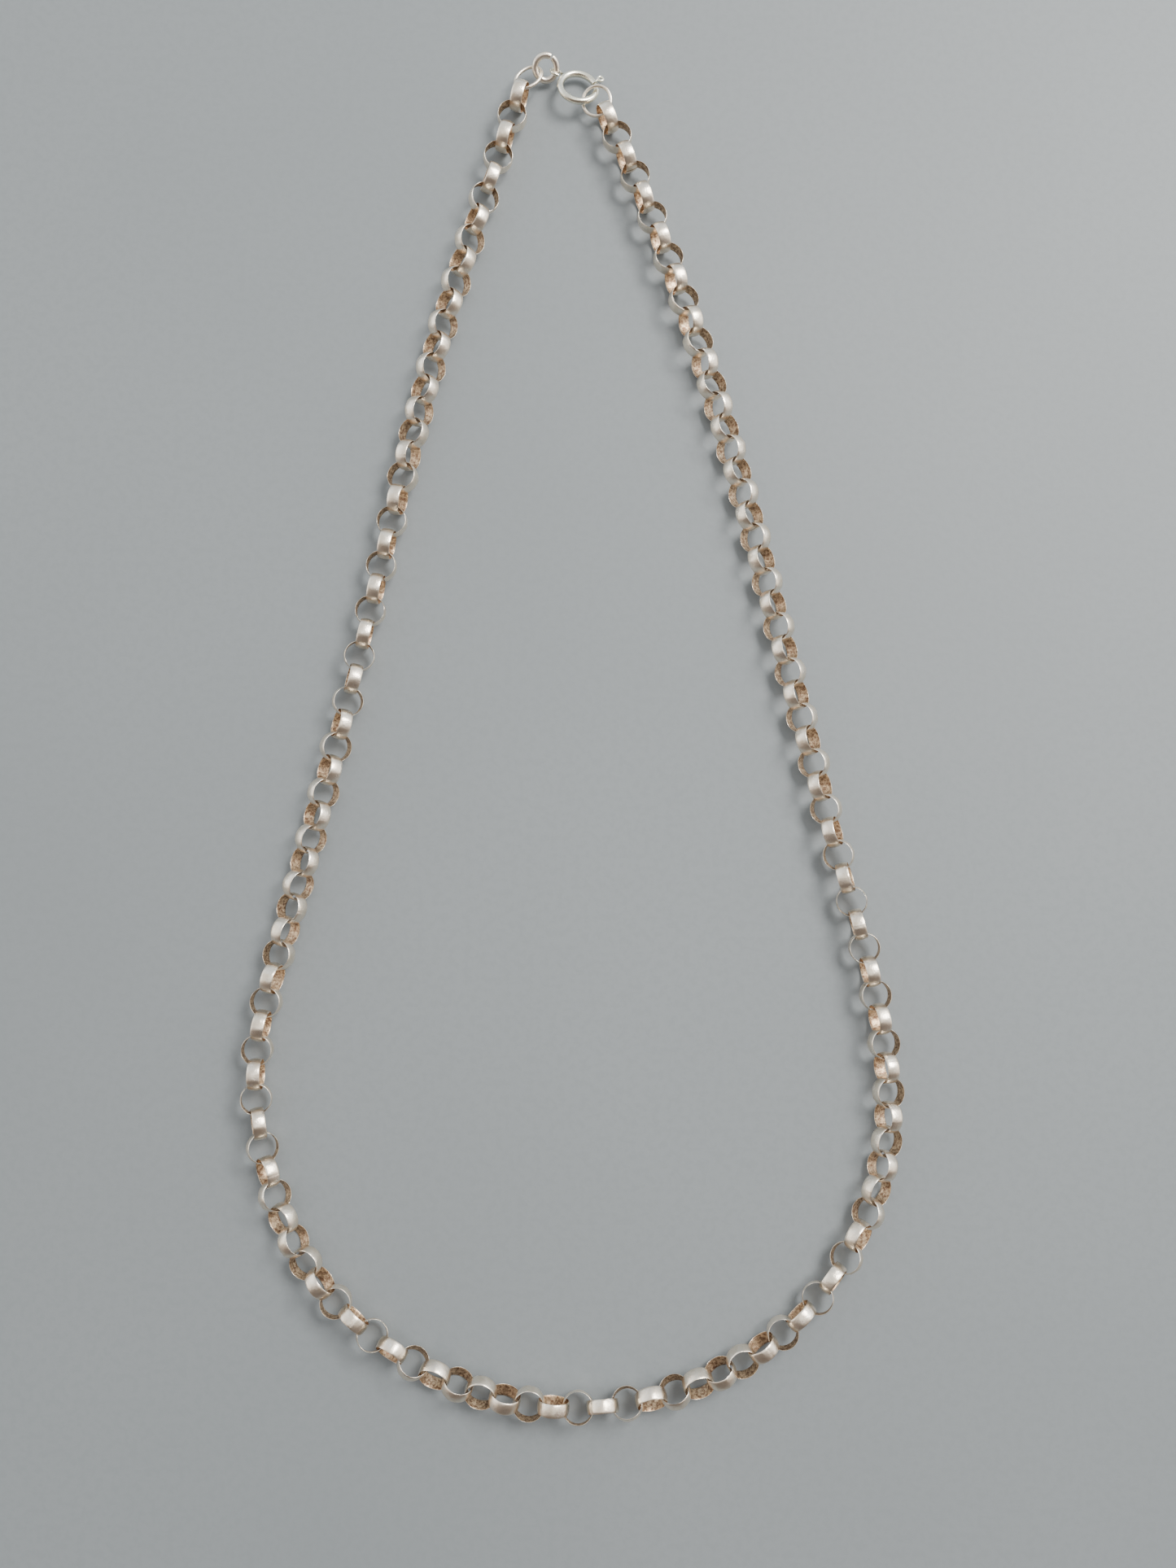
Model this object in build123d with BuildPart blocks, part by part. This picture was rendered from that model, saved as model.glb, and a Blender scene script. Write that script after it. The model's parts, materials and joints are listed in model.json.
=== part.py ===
from build123d import *
import math
import os

# Belcher chain necklace fastened with a bolt ring clasp, laid flat as a
# teardrop loop. Millimetres, +Z up, +Y towards the clasp.

# ---- chain links -------------------------------------------------------
link_outer_r = 2.22
link_wall = 0.20
link_width = 1.80
link_dome = 0.09
link_edge_r = 0.05
link_count = 132
centre_height = 2.312
links_per_piece = 3

# ---- where the loop lies, from the left end of the chain to the right --
lay_points = [
    (-7.05, 95.35),
    (-10.85, 83.55),
    (-18.05, 60.55),
    (-29.75, 11.35),
    (-41.45, -35.55),
    (-44.05, -49.15),
    (-42.65, -62.45),
    (-37.45, -75.45),
    (-28.55, -85.45),
    (-17.15, -92.25),
    (-1.25, -95.85),
    (11.85, -94.45),
    (24.15, -89.25),
    (34.15, -80.85),
    (40.75, -70.15),
    (43.55, -60.15),
    (43.45, -47.25),
    (37.55, -20.65),
    (25.45, 28.45),
    (10.25, 76.75),
    (3.6, 91.75),
]

# ---- how far the chain is twisted at some of its links, in degrees ------
twist = [
    (1, 90),
    (4, 88),
    (9, 48),
    (16, 42),
    (22, 0),
    (26, -2),
    (34, -43),
    (38, -52),
    (43, -88),
    (46, -94),
    (51, -132),
    (60, -222),
    (70, -312),
    (77, -368),
    (84, -420),
    (92, -450),
    (100, -485),
    (116, -500),
    (126, -538),
    (132, -540),
]

# ---- pieces of the chain: the front, and two arms that end at the clasp --
first_front_link = 46
last_front_link = 87

# ---- bolt ring clasp ---------------------------------------------------
clasp_centre = (0.7, 93.7, 1.97)
clasp_lean_x = 8.5
clasp_lean_y = -15.0
tube_ring_r = 2.72
tube_r = 0.48
tube_bore_r = 0.35
gate_from = -4.0
gate_to = 22.0
bolt_r = 0.32
bolt_from = -12.0
bolt_to = 44.0
trigger_at = 34.0
trigger_travel = 36.0
slot_half_height = 0.13
trigger_stem_r = 0.10
trigger_eye_r = 0.40
trigger_wire_r = 0.20
trigger_reach = 4.05
plug_at = 128.0
plug_length = 6.0
spring_r = 0.24
spring_wire_r = 0.045
spring_turns = 11

# ---- eyelet of the clasp ----------------------------------------------
eyelet_bearing = 143.3
eyelet_reach = 4.14
eyelet_r = 0.86
eyelet_wire_r = 0.22
eyelet_roll = -21.5
eyelet_half_arc = 143.0

# ---- heavy jump ring between the eyelet and the left end ring ----------
jump_centre = (-4.15, 96.55, 2.29)
jump_lean_x = 8.5
jump_lean_y = 43.5
jump_r = 1.62
jump_wire_r = 0.45

# ---- end rings ----------------------------------------------------------
left_centre = (-6.72, 95.15, 2.13)
left_lean_x = -4.5
left_lean_y = -11.5
left_long_r = 2.25
left_short_r = 1.60
left_wire_r = 0.25
left_heading = 43.8
right_centre = (3.45, 91.5, 2.07)
right_lean_x = -9.0
right_lean_y = 12.5
right_ring_r = 2.10
right_wire_r = 0.24

up = Vector(0, 0, 1)


def lean(lean_x, lean_y):
    """A unit axis that leans east by lean_x and south by lean_y."""
    across = math.tan(math.radians(lean_x))
    along = -math.tan(math.radians(lean_y))
    return Vector(across, along, 1).normalized()


def ring_plane(centre, axis, toward=(1, 0, 0)):
    """A plane at a ring's centre, its Z on the ring's axis."""
    side = Vector(*toward)
    side = (side - axis * side.dot(axis)).normalized()
    return Plane(origin=centre, x_dir=side, z_dir=axis)


def turned(plane, angle):
    """The plane through a ring's axis at an angle round it, X outwards, Y on the axis."""
    turn = math.radians(angle)
    outward = plane.x_dir * math.cos(turn) + plane.y_dir * math.sin(turn)
    return Plane(origin=plane.origin, x_dir=outward, z_dir=outward.cross(plane.z_dir))


def twist_at(number):
    """The chain's twist at a link, in degrees, straight between the listed links."""
    for (start, low), (end, high) in zip(twist, twist[1:]):
        if number <= end:
            return low + (high - low) * (number - start) / (end - start)
    return twist[-1][1]


# ---- one link: a domed strip bent into a ring ---------------------------
edge_outer_r = link_outer_r - link_dome
inner_r = link_outer_r - link_wall
half_width = link_width / 2

with BuildPart() as link:
    with BuildSketch(Plane.XZ) as strip:
        with BuildLine():
            dome = ThreePointArc(
                (edge_outer_r, -half_width),
                (link_outer_r, 0),
                (edge_outer_r, half_width),
            )
            Polyline(
                dome @ 1,
                (inner_r + link_edge_r, half_width),
                (inner_r, half_width - link_edge_r),
                (inner_r, link_edge_r - half_width),
                (inner_r + link_edge_r, -half_width),
                dome @ 0,
            )
        make_face()
    revolve(axis=Axis.Z)

# ---- a place for every link along the lay of the chain -------------------
with BuildLine() as lay:
    Spline(*lay_points)

lay_curve = lay.edges()[0]
lay_length = lay_curve.length
pitch = lay_length / (link_count - 1)

link_places = {}
for number in range(1, link_count + 1):
    along = pitch * (number - 1)
    spot = lay_curve.position_at(along, position_mode=PositionMode.LENGTH)
    heading = lay_curve.tangent_at(along, position_mode=PositionMode.LENGTH)
    right_hand = Vector(heading.Y, -heading.X, 0).normalized()
    roll = math.radians(twist_at(number) + 90 * (number % 2))
    axis = right_hand * math.sin(roll) + up * math.cos(roll)
    centre = Vector(spot.X, spot.Y, centre_height)
    link_places[number] = Plane(origin=centre, x_dir=heading, z_dir=axis)

# ---- the chain in pieces of three links ----------------------------------
chain_pieces = {}
for first in range(2, link_count, links_per_piece):
    start = 1 + links_per_piece * ((first - 1) // links_per_piece)
    numbers = range(max(start, 2), min(start + links_per_piece, link_count))
    if start < first_front_link:
        name = f"left_{(first_front_link - start) // links_per_piece:02d}"
    elif start <= last_front_link:
        name = f"front_{1 + (start - first_front_link) // links_per_piece:02d}"
    else:
        name = f"right_{1 + (start - last_front_link) // links_per_piece:02d}"
    chain_pieces[name] = list(numbers)

for name, numbers in chain_pieces.items():
    with BuildPart() as chain_piece:
        for number in numbers:
            with Locations(link_places[number].location):
                add(link.part)
    chain_piece.part.label = name
    export_step(chain_piece.part, f"parts/{name}.step")

# ---- clasp: hollow ring tube with a gate, a trigger slot and a plug -------
clasp_axis = lean(clasp_lean_x, clasp_lean_y)
clasp = ring_plane(clasp_centre, clasp_axis)
clasp_line = Axis(clasp_centre, clasp_axis)

with BuildPart() as clasp_tube:
    with BuildSketch(turned(clasp, gate_to)):
        with Locations((tube_ring_r, 0)):
            Circle(tube_r)
            Circle(tube_bore_r, mode=Mode.SUBTRACT)
    revolve(axis=clasp_line, revolution_arc=360 - (gate_to - gate_from))
    with BuildSketch(turned(clasp, trigger_at - 4)):
        with Locations((tube_ring_r + tube_r, 0)):
            Rectangle(2 * (tube_r - bolt_r + 0.1), 2 * slot_half_height)
    revolve(axis=clasp_line, revolution_arc=trigger_travel + 8, mode=Mode.SUBTRACT)
clasp_tube.part.label = "clasp_tube"
export_step(clasp_tube.part, "parts/clasp_tube.step")

with BuildPart() as clasp_plug:
    with BuildSketch(turned(clasp, plug_at)):
        with Locations((tube_ring_r, 0)):
            Circle(tube_bore_r)
    revolve(axis=clasp_line, revolution_arc=plug_length)
clasp_plug.part.label = "clasp_plug"
export_step(clasp_plug.part, "parts/clasp_plug.step")

# ---- clasp: curved bolt and the small eye that pulls it back ---------------
with BuildPart() as clasp_bolt:
    with BuildSketch(turned(clasp, bolt_from)):
        with Locations((tube_ring_r, 0)):
            Circle(bolt_r)
    revolve(axis=clasp_line, revolution_arc=bolt_to - bolt_from)
clasp_bolt.part.label = "clasp_bolt"
export_step(clasp_bolt.part, "parts/clasp_bolt.step")

trigger_line = turned(clasp, trigger_at)
trigger_out = trigger_line.x_dir
trigger_start = trigger_line.origin + trigger_out * tube_ring_r
trigger_eye_centre = trigger_line.origin + trigger_out * trigger_reach
trigger_stem_end = trigger_reach - trigger_eye_r

with BuildPart() as clasp_trigger:
    with BuildSketch(Plane(origin=trigger_start, z_dir=trigger_out)):
        Circle(trigger_stem_r)
    extrude(amount=trigger_stem_end - tube_ring_r)
    trigger_eye = ring_plane(trigger_eye_centre, clasp_axis)
    with BuildSketch(turned(trigger_eye, 0)):
        with Locations((trigger_eye_r, 0)):
            Circle(trigger_wire_r)
    revolve(axis=Axis(trigger_eye_centre, clasp_axis))
    add(clasp_bolt.part, mode=Mode.SUBTRACT)
clasp_trigger.part.label = "clasp_trigger"
export_step(clasp_trigger.part, "parts/clasp_trigger.step")

# ---- clasp: coil spring in the tube, between the bolt and the plug ---------
spring_from = bolt_to + 1.5
spring_to = plug_at - 1.5
spring_steps = spring_turns * 10

with BuildPart() as clasp_spring:
    with BuildLine() as coil:
        coil_points = []
        for step in range(spring_steps + 1):
            share = step / spring_steps
            station = turned(clasp, spring_from + (spring_to - spring_from) * share)
            phase = 2 * math.pi * spring_turns * share
            out = tube_ring_r + spring_r * math.cos(phase)
            rise = spring_r * math.sin(phase)
            coil_points.append(station.origin + station.x_dir * out + clasp_axis * rise)
        Spline(*coil_points)
    with BuildSketch(Plane(origin=coil.line @ 0, z_dir=coil.line % 0)):
        Circle(spring_wire_r)
    sweep()
clasp_spring.part.label = "clasp_spring"
export_step(clasp_spring.part, "parts/clasp_spring.step")

# ---- clasp: eyelet soldered to the tube --------------------------------------
eyelet_line = turned(clasp, eyelet_bearing)
eyelet_out = eyelet_line.x_dir
eyelet_centre = eyelet_line.origin + eyelet_out * eyelet_reach
eyelet_turn = math.radians(eyelet_roll)
eyelet_side = clasp_axis.cross(eyelet_out)
eyelet_axis = clasp_axis * math.cos(eyelet_turn) + eyelet_side * math.sin(eyelet_turn)
eyelet = ring_plane(eyelet_centre, eyelet_axis, tuple(eyelet_out))

with BuildPart() as clasp_eyelet:
    with BuildSketch(turned(eyelet, -eyelet_half_arc)):
        with Locations((eyelet_r, 0)):
            Circle(eyelet_wire_r)
    revolve(axis=Axis(eyelet_centre, eyelet_axis), revolution_arc=2 * eyelet_half_arc)
clasp_eyelet.part.label = "clasp_eyelet"
export_step(clasp_eyelet.part, "parts/clasp_eyelet.step")

# ---- heavy jump ring ------------------------------------------------------------
jump_axis = lean(jump_lean_x, jump_lean_y)
jump = ring_plane(jump_centre, jump_axis)

with BuildPart() as jump_ring:
    with BuildSketch(turned(jump, 0)):
        with Locations((jump_r, 0)):
            Circle(jump_wire_r)
    revolve(axis=Axis(jump_centre, jump_axis))
jump_ring.part.label = "jump_ring"
export_step(jump_ring.part, "parts/jump_ring.step")

# ---- oval end ring of the left arm -------------------------------------------------
left_axis = lean(left_lean_x, left_lean_y)
left_turn = math.radians(left_heading)
left_toward = (math.cos(left_turn), math.sin(left_turn), 0)
left_ring_plane = ring_plane(left_centre, left_axis, left_toward)

with BuildPart() as left_end_ring:
    with BuildLine(left_ring_plane) as oval:
        EllipticalCenterArc((0, 0), left_long_r, left_short_r, start_angle=0, arc_size=360)
    with BuildSketch(Plane(origin=oval.line @ 0, z_dir=oval.line % 0)):
        Circle(left_wire_r)
    sweep()
left_end_ring.part.label = "left_end_ring"
export_step(left_end_ring.part, "parts/left_end_ring.step")

# ---- round end ring of the right arm ----------------------------------------------
right_axis = lean(right_lean_x, right_lean_y)
right_ring_plane = ring_plane(right_centre, right_axis)

with BuildPart() as right_end_ring:
    with BuildSketch(turned(right_ring_plane, 0)):
        with Locations((right_ring_r, 0)):
            Circle(right_wire_r)
    revolve(axis=Axis(right_centre, right_axis))
right_end_ring.part.label = "right_end_ring"
export_step(right_end_ring.part, "parts/right_end_ring.step")

print(f"lay length {lay_length:.2f}, pitch {pitch:.3f}")
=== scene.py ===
import json
import math

import bpy
import numpy as np
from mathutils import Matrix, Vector


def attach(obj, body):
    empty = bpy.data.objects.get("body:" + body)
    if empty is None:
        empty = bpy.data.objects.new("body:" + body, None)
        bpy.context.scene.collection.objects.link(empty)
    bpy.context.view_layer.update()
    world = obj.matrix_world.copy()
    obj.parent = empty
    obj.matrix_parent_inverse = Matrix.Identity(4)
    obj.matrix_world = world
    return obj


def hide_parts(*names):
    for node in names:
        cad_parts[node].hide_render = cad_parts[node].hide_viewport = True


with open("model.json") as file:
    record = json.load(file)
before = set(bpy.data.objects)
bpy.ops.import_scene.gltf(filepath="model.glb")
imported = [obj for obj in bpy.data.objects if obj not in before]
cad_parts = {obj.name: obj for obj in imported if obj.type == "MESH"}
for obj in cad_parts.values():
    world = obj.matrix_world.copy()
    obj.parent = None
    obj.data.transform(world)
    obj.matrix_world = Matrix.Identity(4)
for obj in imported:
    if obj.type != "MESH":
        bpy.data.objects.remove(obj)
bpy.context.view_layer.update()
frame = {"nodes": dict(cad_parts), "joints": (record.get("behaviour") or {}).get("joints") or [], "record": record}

MM = 0.001

# ---------------------------------------------------------------- sizes, mm
LINK_OUTER = 2.22
LINK_WALL = 0.20
LINK_WIDTH = 1.80
LINK_DOME = 0.10
JUMP_RING = {"radius": 1.62, "wire": 0.45}
END_RING = {"radius": 2.10, "wire": 0.24}
OVAL_RING = {"long": 2.25, "short": 1.60, "wire": 0.25}


# wear of the links: depths in mm, widths as a share of LINK_WIDTH
DENT = 0.05
FLAT = 0.026
SEAM_DIP = 0.030
SEAM_SPREAD = 0.035
LEAST_WALL = 0.022
RIM_WORN = 0.03
RIM_UNEVEN = 0.03
WIDEST = 0.975

AROUND = 88
FIRST_SEED = 100


# ---------------------------------------------------------------- node tools
def new_mat(name):
    mat = bpy.data.materials.new(name)
    mat.use_nodes = True
    tree = mat.node_tree
    tree.nodes.clear()
    out = tree.nodes.new("ShaderNodeOutputMaterial")
    bsdf = tree.nodes.new("ShaderNodeBsdfPrincipled")
    tree.links.new(bsdf.outputs["BSDF"], out.inputs["Surface"])
    return mat, tree, bsdf


def node(tree, kind, values=None, **props):
    made = tree.nodes.new(kind)
    for key, value in props.items():
        setattr(made, key, value)
    for key, value in (values or {}).items():
        made.inputs[key].default_value = value
    return made


def noise(tree, coords, scale, detail, rough, distortion=0.0):
    made = node(tree, "ShaderNodeTexNoise", {"Scale": scale, "Detail": detail,
                "Roughness": rough, "Distortion": distortion})
    tree.links.new(coords, made.inputs["Vector"])
    return made.outputs["Fac"]


def ramp(tree, source, stops):
    made = node(tree, "ShaderNodeValToRGB")
    band = made.color_ramp
    while len(band.elements) > len(stops):
        band.elements.remove(band.elements[-1])
    while len(band.elements) < len(stops):
        band.elements.new(0.5)
    for element, (place, colour) in zip(band.elements, stops):
        element.position = place
        element.color = (*colour, 1.0)
    tree.links.new(source, made.inputs["Fac"])
    return made.outputs["Color"]


def grey(v):
    return (v, v, v)


def math_node(tree, op, a, b, clamp=False):
    made = node(tree, "ShaderNodeMath", operation=op, use_clamp=clamp)
    for k, value in enumerate((a, b)):
        if isinstance(value, (int, float)):
            made.inputs[k].default_value = value
        else:
            tree.links.new(value, made.inputs[k])
    return made.outputs[0]


def mix_rgb(tree, fac, a, b, blend="MIX"):
    made = node(tree, "ShaderNodeMix", data_type="RGBA", blend_type=blend)
    for key, value in ((0, fac), (6, a), (7, b)):
        if isinstance(value, (int, float)):
            made.inputs[key].default_value = value
        elif isinstance(value, tuple):
            made.inputs[key].default_value = (*value, 1.0)
        else:
            tree.links.new(value, made.inputs[key])
    return made.outputs[2]


# ---------------------------------------------------------------- materials
def silver(name, bright, shade, patina_and_shade_colours, rough_low, rough_high, bump, scratch):
    """Worn silver: bright outside, brown patina where the mesh's mark attribute says so; on the links that mark
    also holds painted shade where neighbouring links touch.

    Noise scales are per metre, so 2600 gives patches of about 0.4 mm.
    """
    mat, tree, bsdf = new_mat(name)
    geo = node(tree, "ShaderNodeTexCoord").outputs["Object"]
    patina_and_shade = node(tree, "ShaderNodeAttribute", attribute_name="patina_and_shade").outputs["Fac"]
    cloud = noise(tree, geo, 900.0, 5.0, 0.6)
    patch = noise(tree, geo, 2600.0, 6.0, 0.65, 0.4)
    fine = noise(tree, geo, 9000.0, 3.0, 0.5)
    long_range = noise(tree, geo, 160.0, 2.0, 0.5)

    body = mix_rgb(tree, ramp(tree, cloud, [(0.35, grey(0.0)), (0.7, grey(1.0))]), bright, shade)
    body = mix_rgb(tree, math_node(tree, "MULTIPLY", long_range, 0.25), body, (0.93, 0.84, 0.74))
    spots = ramp(tree, patch, [(0.60, grey(0.0)), (0.72, grey(0.55))])
    body = mix_rgb(tree, spots, body, (0.50, 0.43, 0.36))

    dark = mix_rgb(tree, ramp(tree, patch, [(0.40, grey(0.0)), (0.62, grey(1.0))]),
                   patina_and_shade_colours[0], patina_and_shade_colours[1])
    dark = mix_rgb(tree, ramp(tree, fine, [(0.55, grey(0.0)), (0.75, grey(0.5))]), dark, patina_and_shade_colours[2])
    # painted shade and patina: the mark attribute, broken up by noise, mixes in the dark colours; on the links
    # this paints shade where neighbours touch
    edge = math_node(tree, "ADD", patina_and_shade, math_node(tree, "MULTIPLY",
                     math_node(tree, "SUBTRACT", patch, 0.5), 0.5), clamp=True)
    edge = ramp(tree, edge, [(0.42, grey(0.0)), (0.62, grey(1.0))])
    tree.links.new(mix_rgb(tree, edge, body, dark), bsdf.inputs["Base Color"])

    rough_out = math_node(tree, "ADD", math_node(tree, "MULTIPLY", cloud, rough_high - rough_low),
                          rough_low)
    rough = math_node(tree, "ADD", rough_out, math_node(tree, "MULTIPLY", edge, 0.16), clamp=True)
    tree.links.new(rough, bsdf.inputs["Roughness"])
    bsdf.inputs["Metallic"].default_value = 1.0

    stretch = node(tree, "ShaderNodeMapping")
    stretch.inputs["Scale"].default_value = (1.0, 0.25, 1.0)
    stretch.inputs["Rotation"].default_value = (0.3, 0.2, 0.5)
    tree.links.new(geo, stretch.inputs["Vector"])
    lines = noise(tree, stretch.outputs["Vector"], 7000.0, 2.0, 0.5)
    height = math_node(tree, "ADD", math_node(tree, "MULTIPLY", patch, 1.0),
                       math_node(tree, "MULTIPLY", lines, scratch))
    height = math_node(tree, "ADD", height, math_node(tree, "MULTIPLY", cloud, 1.6))
    raised = node(tree, "ShaderNodeBump", {"Strength": bump, "Distance": 0.00005})
    tree.links.new(height, raised.inputs["Height"])
    tree.links.new(raised.outputs["Normal"], bsdf.inputs["Normal"])
    return mat


# patina colours; on the links they also paint the shade where neighbouring links touch
brown = ((0.25, 0.145, 0.09), (0.84, 0.64, 0.42), (0.17, 0.095, 0.06))
link_mat = silver("link_silver", (0.97, 0.895, 0.77), (0.76, 0.65, 0.50), brown,
                  0.20, 0.40, 0.55, 0.5)
ring_mat = silver("ring_silver", (0.94, 0.88, 0.77), (0.74, 0.63, 0.50), brown,
                  0.22, 0.42, 0.5, 0.4)
clasp_mat = silver("clasp_silver", (0.95, 0.94, 0.80), (0.84, 0.81, 0.66), brown,
                   0.16, 0.32, 0.25, 0.3)


# ---------------------------------------------------------------- mesh tools
def mesh_object(name, verts, faces, patina_and_shade, mat):
    mesh = bpy.data.meshes.new(name)
    mesh.from_pydata([tuple(v) for v in verts], [], faces)
    mesh.polygons.foreach_set("use_smooth", [True] * len(mesh.polygons))
    # mark attribute: patina in hollows and at seams, plus painted shade where links touch
    attr = mesh.attributes.new("patina_and_shade", "FLOAT", "POINT")
    attr.data.foreach_set("value", np.asarray(patina_and_shade, np.float32))
    mesh.materials.append(mat)
    mesh.update()
    made = bpy.data.objects.new(name, mesh)
    bpy.context.scene.collection.objects.link(made)
    return made


def swept(path, sides, section, patina_and_shade, closed=True):
    """Verts and faces of a section carried along a path. sides[i] is (out, up) at path[i]."""
    count, size = len(path), len(section[0])
    verts = np.zeros((count * size, 3))
    marks = np.zeros(count * size)
    for i in range(count):
        out, up = sides[i]
        shape = section[i]
        verts[i * size:(i + 1) * size] = path[i] + shape[:, :1] * out + shape[:, 1:] * up
        marks[i * size:(i + 1) * size] = patina_and_shade[i]
    faces = []
    for i in range(count if closed else count - 1):
        a, b = i * size, ((i + 1) % count) * size
        for k in range(size):
            n = (k + 1) % size
            faces.append((a + k, b + k, b + n, a + n))
    if not closed:
        faces.append(tuple(range(size)))
        last = (count - 1) * size
        faces.append(tuple(range(last + size - 1, last - 1, -1)))
    return verts, faces, marks


def wobble(angles, seed, orders, size):
    """A smooth uneven line round a ring: a few waves of random height and shift."""
    local = np.random.default_rng(seed)
    total = np.zeros_like(angles)
    for order in orders:
        height = local.normal()
        shift = local.uniform(0, 2 * math.pi)
        total += height * np.cos(order * angles + shift) / order ** 0.5
    return size * total / len(orders)


def link_section():
    """Points (out from the ring's centre, along its axis) of a domed strip with worn rims.

    The second array says how deep into the ring's hollow each point lies, from 0 to 1.
    """
    half = LINK_WIDTH / 2
    inner = LINK_OUTER - LINK_WALL
    edge = LINK_OUTER - LINK_DOME
    pts, marks = [], []
    for t in np.linspace(-1, 1, 9):
        pts.append((LINK_OUTER - LINK_DOME * t * t, 0.93 * half * t))
        marks.append(0.0)
    rim = [(edge - 0.04, half - 0.02, 0.0),
           (inner + 0.028, half, 0.05),
           (inner + 0.016, half - 0.015, 0.25)]
    for out, along, mark in rim:
        pts.append((out, along))
        marks.append(mark)
    for t in np.linspace(1, -1, 7):
        pts.append((inner + 0.004 * t * t, (half - 0.035) * t))
        marks.append(1.0)
    for out, along, mark in reversed(rim):
        pts.append((out, -along))
        marks.append(mark)
    return np.array(pts), np.array(marks)


SECTION, SECTION_MARK = link_section()


def link_mesh(centre, axis, travel, seed):
    """One worn belcher link: flats hammered on the dome, a solder seam, slightly uneven rims."""
    local = np.random.default_rng(seed)
    side = travel - axis * travel.dot(axis)
    side = np.array(side.normalized())
    axis = np.array(axis)
    across = np.cross(axis, side)
    angles = np.linspace(0, 2 * math.pi, AROUND, endpoint=False)
    worn = np.abs(wobble(angles, seed, (2, 3, 5, 7, 9), DENT))
    flats = FLAT * (1 - np.cos(local.integers(7, 11) * (angles + local.uniform(0, 6)))) / 2
    rim = wobble(angles, seed + 5, (3, 4, 6), RIM_UNEVEN)
    seam_at = local.uniform(0, 2 * math.pi)
    seam = np.exp(-((np.angle(np.exp(1j * (angles - seam_at)))) / SEAM_SPREAD) ** 2)
    path, sides, shapes, marks = [], [], [], []
    outer = SECTION_MARK < 0.1
    thinnest = LINK_OUTER - LINK_WALL + LEAST_WALL
    for i, a in enumerate(angles):
        out = math.cos(a) * side + math.sin(a) * across
        shape = SECTION.copy()
        take = worn[i] + flats[i] + SEAM_DIP * seam[i]
        tilt = 1 + 0.5 * np.sin(2 * a + seed) * shape[:, 1] / (LINK_WIDTH / 2)
        shape[outer, 0] = np.maximum(shape[outer, 0] - take * tilt[outer], thinnest)
        width = 1 - RIM_WORN - rim[i] * np.sign(shape[:, 1]) * 0.5 - 0.02 * seam[i]
        shape[:, 1] *= np.minimum(width, WIDEST)
        shape[:, 0] = np.maximum(shape[:, 0], LINK_OUTER - LINK_WALL)
        path.append(centre)
        sides.append((out * MM, axis * MM))
        shapes.append(shape)
        # darker at the solder seam (patina), plus painted shade on the outer surface where the neighbouring links
        # pass through
        seam_patina_and_contact_shade = 0.5 * seam[i] + 0.42 * max(0.0, abs(math.cos(a)) - 0.62) / 0.38
        marks.append(np.clip(SECTION_MARK + seam_patina_and_contact_shade * (SECTION_MARK < 0.3), 0, 1))
    return swept(path, sides, shapes, marks)


def ring_mesh(centre, axis, x_dir, r_a, r_b, wire, around, ring, start, arc, seed, rough):
    """A bent wire, round or oval, whole or part of a turn."""
    axis = np.array(axis.normalized())
    x_dir = np.array(x_dir) - axis * np.dot(np.array(x_dir), axis)
    x_dir /= np.linalg.norm(x_dir)
    y_dir = np.cross(axis, x_dir)
    closed = arc >= 359.9
    count = around if closed else max(12, int(around * arc / 360))
    angles = np.radians(start) + np.linspace(0, math.radians(arc), count, endpoint=not closed)
    dents = np.abs(wobble(angles, seed + 11, (2, 3, 5, 8), rough))
    turn = np.linspace(0, 2 * math.pi, ring, endpoint=False)
    path, sides, shapes, marks = [], [], [], []
    for i, a in enumerate(angles):
        spot = r_a * math.cos(a) * x_dir + r_b * math.sin(a) * y_dir
        along = -r_a * math.sin(a) * x_dir + r_b * math.cos(a) * y_dir
        out = np.cross(along, axis)
        out /= np.linalg.norm(out)
        radius = wire * (1 - dents[i] / wire * (0.5 + 0.5 * np.cos(turn + 3 * a)))
        shape = np.stack([radius * np.cos(turn), radius * np.sin(turn)], 1)
        path.append(np.array(centre) + spot * MM)
        sides.append((out * MM, axis * MM))
        shapes.append(shape)
        marks.append(np.clip(-0.05 - 0.40 * np.cos(turn), 0, 1))
    return swept(path, sides, shapes, marks, closed)


def join(parts):
    verts, faces, marks, base = [], [], [], 0
    for v, f, m in parts:
        verts.append(v)
        faces.extend(tuple(k + base for k in face) for face in f)
        marks.append(m)
        base += len(v)
    return np.concatenate(verts), faces, np.concatenate(marks)


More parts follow.
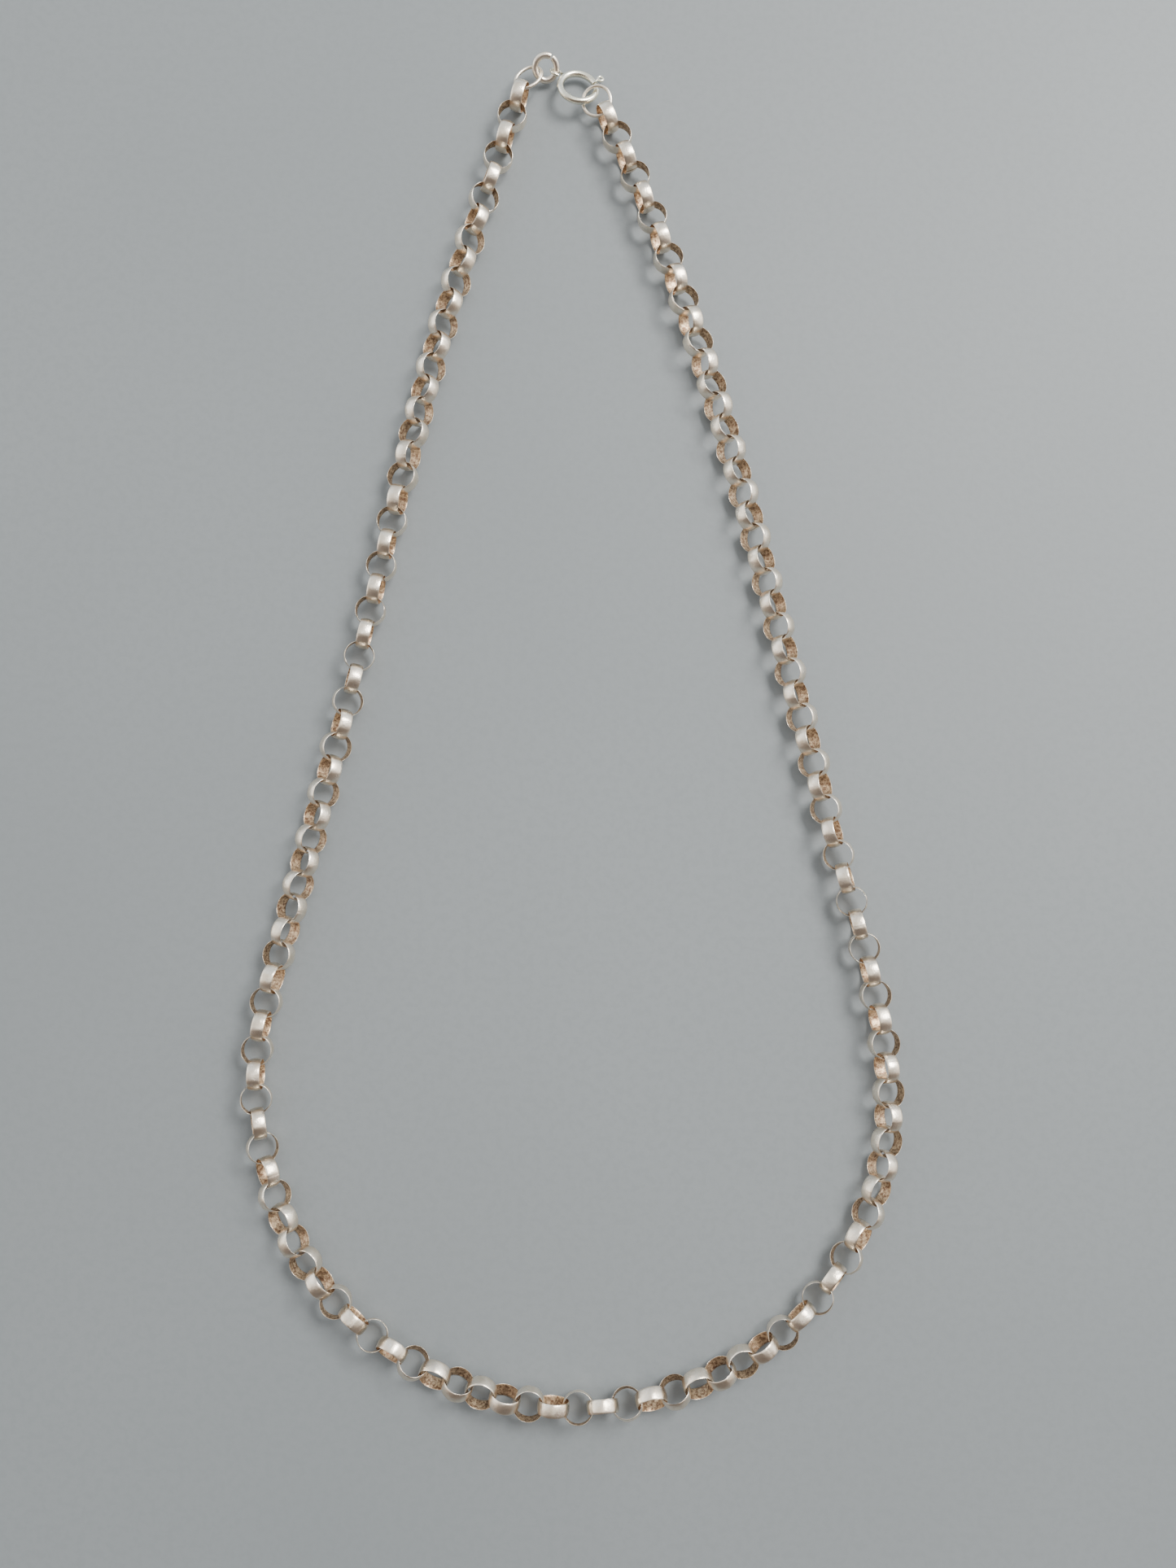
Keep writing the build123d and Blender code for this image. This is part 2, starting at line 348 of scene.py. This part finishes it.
# ---------------------------------------------------------------- reading the CAD
def solids_of(name):
    """(centre, ring axis, long axis) in metres of each separate solid in a CAD node."""
    mesh = frame["nodes"][name].data
    co = np.zeros(len(mesh.vertices) * 3)
    mesh.vertices.foreach_get("co", co)
    co = co.reshape(-1, 3)
    keys, index = {}, np.zeros(len(co), int)
    for i, v in enumerate(np.round(co * 1e7).astype(np.int64)):
        index[i] = keys.setdefault(tuple(v), len(keys))
    parent = list(range(len(keys)))

    def root(k):
        while parent[k] != k:
            parent[k] = parent[parent[k]]
            k = parent[k]
        return k

    mesh.calc_loop_triangles()
    tris = np.zeros(len(mesh.loop_triangles) * 3, int)
    mesh.loop_triangles.foreach_get("vertices", tris)
    tris = tris.reshape(-1, 3)
    for t in index[tris]:
        a, b, c = root(t[0]), root(t[1]), root(t[2])
        parent[b] = a
        parent[root(c)] = a
    groups = {}
    for t in tris:
        groups.setdefault(root(index[t[0]]), []).append(t)
    found = []
    for group in groups.values():
        p = co[np.array(group)]
        area = np.linalg.norm(np.cross(p[:, 1] - p[:, 0], p[:, 2] - p[:, 0]), axis=1)
        mid = p.mean(1)
        centre = (mid * area[:, None]).sum(0) / area.sum()
        rel = mid - centre
        values, vectors = np.linalg.eigh((rel * area[:, None]).T @ rel)
        axis = vectors[:, 0] * (1 if vectors[2, 0] >= 0 else -1)
        found.append((Vector(centre), Vector(axis).normalized(), Vector(vectors[:, 2])))
    return found


joint = {j["name"]: j for j in frame["joints"]}
bodies_of = {n: b for b, ns in frame["record"]["behaviour"]["bodies"].items() for n in ns}


def place(name, parts, mat, cad_nodes, slot):
    made = mesh_object(name, *join(parts), mat)
    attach(made, bodies_of[cad_nodes[0]])
    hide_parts(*cad_nodes)


# ---------------------------------------------------------------- links
stretches = ("left", "right", "front")
chain = sorted(n for n in frame["nodes"] if n.split("_")[0] in stretches and n[-1].isdigit())
seed = FIRST_SEED
for name in chain:
    parts = []
    found = solids_of(name)
    for centre, axis, _ in found:
        others = [f[0] for f in found if f[0] != centre]
        travel = (others[0] - centre).normalized()
        parts.append(link_mesh(np.array(centre), axis, travel, seed))
        seed += 1
    place(name + "_links", parts, link_mat, [name], "link_silver")

# ---------------------------------------------------------------- clasp and rings
east = Vector((1, 0, 0))
jump = joint["jump_ring_spin"]
radius, wire = JUMP_RING["radius"], JUMP_RING["wire"]
jump_part = ring_mesh(Vector(jump["pos_m"]), Vector(jump["axis"]), east, radius, radius, wire,
                      around=120, ring=24, start=62.0, arc=352.0, seed=21, rough=0.02)
place("jump_ring_wire", [jump_part], ring_mat, ["jump_ring"], "ring_silver")

end = joint["end_ring_spin"]
radius, wire = END_RING["radius"], END_RING["wire"]
end_part = ring_mesh(Vector(end["pos_m"]), Vector(end["axis"]), east, radius, radius, wire,
                     around=140, ring=18, start=0, arc=360, seed=22, rough=0.015)
place("right_end_ring_wire", [end_part], ring_mat, ["right_end_ring"], "ring_silver")

oval_c, oval_n, oval_x = solids_of("left_end_ring")[0]
oval = ring_mesh(oval_c, oval_n, oval_x, OVAL_RING["long"], OVAL_RING["short"], OVAL_RING["wire"],
                 around=140, ring=18, start=0, arc=360, seed=23, rough=0.015)
place("left_end_ring_wire", [oval], ring_mat, ["left_end_ring"], "ring_silver")

# the clasp keeps its CAD shapes, with a better material
for name in ("clasp_tube", "clasp_bolt", "clasp_eyelet",
             "clasp_trigger", "clasp_plug", "clasp_spring"):
    o = frame["nodes"][name]
    o.data.materials.clear()
    o.data.materials.append(clasp_mat)
    for polygon in o.data.polygons:
        polygon.use_smooth = True

# ---------------------------------------------------------------- floor
FLOOR_SIZE = 3.0
floor_mat, tree, bsdf = new_mat("floor")
geo = node(tree, "ShaderNodeTexCoord").outputs["Object"]
grain = noise(tree, geo, 900.0, 4.0, 0.6)
broad = noise(tree, geo, 9.0, 3.0, 0.5)
tone = mix_rgb(tree, ramp(tree, broad, [(0.3, grey(0.0)), (0.7, grey(1.0))]),
               (0.192, 0.213, 0.223), (0.214, 0.235, 0.245))
tone = mix_rgb(tree, ramp(tree, grain, [(0.45, grey(0.0)), (0.6, grey(0.35))]),
               tone, (0.181, 0.201, 0.210))
tree.links.new(tone, bsdf.inputs["Base Color"])
bsdf.inputs["Roughness"].default_value = 0.6
raised = node(tree, "ShaderNodeBump", {"Strength": 0.12, "Distance": 0.0002})
tree.links.new(grain, raised.inputs["Height"])
tree.links.new(raised.outputs["Normal"], bsdf.inputs["Normal"])
bpy.ops.mesh.primitive_plane_add(size=FLOOR_SIZE, location=(0, 0, 0))
floor = bpy.context.object
floor.name = "floor"
floor.data.materials.append(floor_mat)

# ---------------------------------------------------------------- light
# The sky is the studio: bright low in the north, dimmer overhead, and dim and warm in the
# south. The polished links mirror it.
SKY_STRENGTH = 2.3
world = bpy.data.worlds.new("world")
bpy.context.scene.world = world
world.use_nodes = True
sky = world.node_tree
back = sky.nodes["Background"]
heading = node(sky, "ShaderNodeSeparateXYZ")
sky.links.new(node(sky, "ShaderNodeTexCoord").outputs["Generated"], heading.inputs[0])
north = math_node(sky, "MULTIPLY", math_node(sky, "ADD", heading.outputs["Y"], 1.0), 0.5)
around = ramp(sky, north, [(0.05, (0.08, 0.068, 0.062)), (0.22, (0.13, 0.105, 0.093)),
                           (0.34, (0.44, 0.38, 0.345)), (0.47, (1.0, 0.98, 0.94)),
                           (0.72, (0.96, 0.98, 1.0)), (0.86, (0.70, 0.74, 0.78)),
                           (1.0, (0.34, 0.37, 0.40))])
height = ramp(sky, heading.outputs["Z"], [(0.0, grey(1.0)), (0.30, grey(1.0)), (0.60, grey(0.72)),
                                          (0.85, grey(0.46)), (0.94, grey(0.42)),
                                          (0.98, grey(0.85))])
sky.links.new(mix_rgb(sky, 1.0, around, height, "MULTIPLY"), back.inputs["Color"])
back.inputs["Strength"].default_value = SKY_STRENGTH

KEY_PLACE = Vector((0.36, 0.30, 0.52))
key_light = bpy.data.lights.new("key", "AREA")
key_light.energy = 7.5
key_light.color = (1.0, 0.975, 0.94)
key_light.size = 0.30
key = bpy.data.objects.new("key", key_light)
bpy.context.scene.collection.objects.link(key)
key.location = KEY_PLACE
key.rotation_euler = (-KEY_PLACE).to_track_quat("-Z", "Y").to_euler()

# ---------------------------------------------------------------- camera
# The photo is taken from almost straight above, tilted a little towards the front.
TILT = math.radians(4.55)
DISTANCE = 0.1674
aim = Vector((0.00215, -0.01065, 0.0023))
cam_data = bpy.data.cameras.new("camera")
cam = bpy.data.objects.new("camera", cam_data)
bpy.context.scene.collection.objects.link(cam)
cam.location = aim + Vector((0, -math.sin(TILT), math.cos(TILT))) * DISTANCE
cam.rotation_euler = (TILT, 0, 0)
cam_data.sensor_fit = "HORIZONTAL"
cam_data.sensor_width = 36.0
cam_data.lens = 36.1
cam_data.clip_start = 0.005
cam_data.clip_end = 20.0
bpy.context.scene.camera = cam

bpy.context.view_layer.update()
